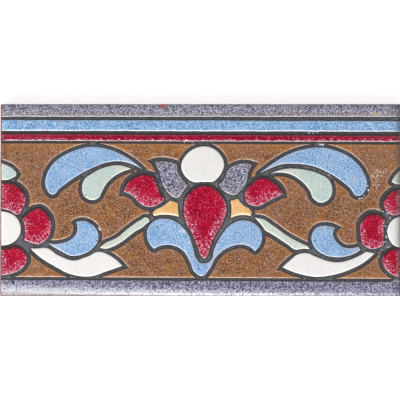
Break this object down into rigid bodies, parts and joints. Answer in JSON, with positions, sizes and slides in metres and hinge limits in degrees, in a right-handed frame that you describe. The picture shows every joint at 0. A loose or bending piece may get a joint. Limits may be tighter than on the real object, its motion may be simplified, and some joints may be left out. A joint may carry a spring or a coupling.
{
  "type": "ceramic border tile",
  "caption": "Rectangular glazed ceramic border tile with coloured bands over a palmette and rosette scroll held apart by a bare dry line.",
  "frame": {"origin": "centre of the back face, which lies on the wall", "axes": "+X along the border, +Y across it towards the banded edge, +Z out of the glazed face"},
  "size_m": [0.28, 0.1344, 0.012],
  "materials": {
    "glazed_tile": "gloss",
    "clay": "matte",
    "dry_line": "matte",
    "glaze_ground": "gloss",
    "glaze_crimson": "gloss",
    "glaze_blue": "gloss",
    "glaze_green": "gloss",
    "glaze_white": "gloss",
    "glaze_grey": "gloss",
    "glaze_orange": "gloss"
  },
  "bodies": {
    "root": {"border_tile": "glazed_tile"}
  },
  "joints": []
}
